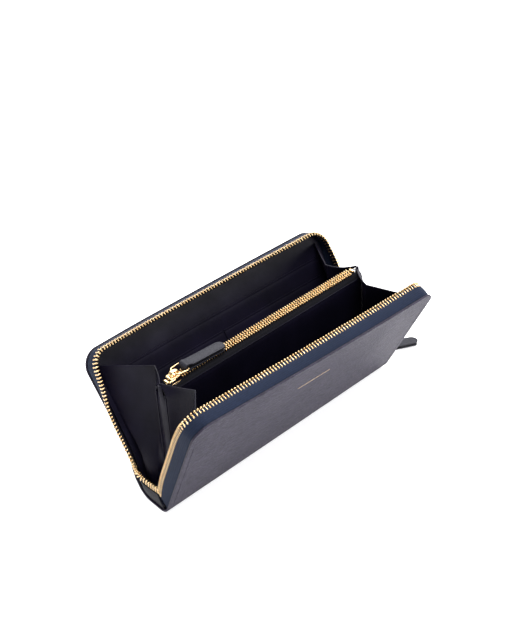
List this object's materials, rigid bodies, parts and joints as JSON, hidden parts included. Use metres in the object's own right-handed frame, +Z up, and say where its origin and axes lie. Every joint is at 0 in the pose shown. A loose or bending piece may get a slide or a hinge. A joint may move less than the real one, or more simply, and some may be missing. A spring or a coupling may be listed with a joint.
{
  "type": "zip around wallet",
  "caption": "Long zip around wallet standing open on its spine, with card slots, bill compartments, a zipped coin pocket and folding end gussets.",
  "frame": {"origin": "centre of the spine's flat underside", "axes": "+X along the spine towards the end with the main slider, +Y towards the back cover, +Z up"},
  "size_m": [0.2253, 0.1068, 0.0899],
  "materials": {
    "outer_leather": "fine cross-grain, satin, dark slate",
    "lining_leather": "smooth, matt, near black navy",
    "pocket_fabric": "fine twill, matt",
    "stiffener": "bonded leather fibre board, matt, hidden",
    "zip_tape": "woven herringbone tape, navy",
    "gold_metal": "polished pale gold plating"
  },
  "bodies": {
    "spine": {"spine_leather": "outer_leather", "spine_lining": "lining_leather", "zip_end_left": "lining_leather", "zip_end_right": "lining_leather", "coin_wall_front": "lining_leather", "coin_wall_back": "lining_leather", "coin_base": "pocket_fabric", "coin_end_left": "pocket_fabric", "coin_end_right": "pocket_fabric", "coin_tape_front": "zip_tape", "coin_tape_back": "zip_tape", "coin_chain_front": "gold_metal", "coin_chain_back": "gold_metal", "coin_stop_left": "gold_metal", "coin_stop_right": "gold_metal", "gusset_left_front": "lining_leather", "gusset_left_back": "lining_leather", "gusset_right_front": "lining_leather", "gusset_right_back": "lining_leather"},
    "front_cover": {"front_leather": "outer_leather", "front_board": "stiffener", "front_lining": "lining_leather", "front_slip_panel": "lining_leather", "front_card_slot_left_1": "lining_leather", "front_card_slot_right_1": "lining_leather", "front_card_slot_left_2": "lining_leather", "front_card_slot_right_2": "lining_leather", "front_card_slot_left_3": "lining_leather", "front_card_slot_right_3": "lining_leather", "front_tape": "zip_tape", "front_chain": "gold_metal", "front_stop_left": "gold_metal", "front_stop_right": "gold_metal"},
    "back_cover": {"back_leather": "outer_leather", "back_board": "stiffener", "back_lining": "lining_leather", "back_slip_panel": "lining_leather", "back_card_slot_left_1": "lining_leather", "back_card_slot_right_1": "lining_leather", "back_card_slot_left_2": "lining_leather", "back_card_slot_right_2": "lining_leather", "back_card_slot_left_3": "lining_leather", "back_card_slot_right_3": "lining_leather", "back_tape": "zip_tape", "back_chain": "gold_metal", "back_stop_left": "gold_metal", "back_stop_right": "gold_metal"},
    "main_slider": {"main_slider": "gold_metal"},
    "main_ring": {"main_pull_ring": "gold_metal"},
    "main_tab": {"main_pull_tab": "outer_leather"},
    "coin_slider": {"coin_slider": "gold_metal"},
    "coin_ring": {"coin_pull_ring": "gold_metal"},
    "coin_tab": {"coin_pull_tab": "outer_leather"}
  },
  "joints": [
    {"name": "front_fold", "type": "hinge", "parent": "spine", "child": "front_cover", "pos_m": [0, -0.0125, 0.0035], "axis": [1, 0, 0], "range_deg": [-25, 10], "deforming": ["gusset_left_front", "gusset_right_front"]},
    {"name": "back_fold", "type": "hinge", "parent": "spine", "child": "back_cover", "pos_m": [0, 0.0125, 0.0035], "axis": [-1, 0, 0], "range_deg": [-30, 0], "deforming": ["gusset_left_back", "gusset_right_back"]},
    {"name": "main_slide", "type": "slide", "parent": "spine", "child": "main_slider", "axis": [0, 0.0523, 0.9986], "range_m": [0, 0.06]},
    {"name": "main_ring_swing", "type": "hinge", "parent": "main_slider", "child": "main_ring", "pos_m": [0.09745, 0.00055, 0.01399], "axis": [-0.2079, -0.9768, 0.0512], "range_deg": [0, 100]},
    {"name": "main_tab_swing", "type": "hinge", "parent": "main_ring", "child": "main_tab", "pos_m": [0.10279, -0.00093, 0.00754], "axis": [-0.2079, -0.9768, 0.0512], "range_deg": [0, 30]},
    {"name": "coin_slide", "type": "slide", "parent": "spine", "child": "coin_slider", "axis": [1, 0, 0], "range_m": [0, 0.138]},
    {"name": "coin_ring_swing", "type": "hinge", "parent": "coin_slider", "child": "coin_ring", "pos_m": [-0.07, 0.00431, 0.08579], "axis": [0, -0.9986, 0.0523], "range_deg": [0, 150]},
    {"name": "coin_tab_swing", "type": "hinge", "parent": "coin_ring", "child": "coin_tab", "pos_m": [-0.0615, 0.0043, 0.08549], "axis": [0, -0.9986, 0.0523], "range_deg": [0, 40]}
  ]
}
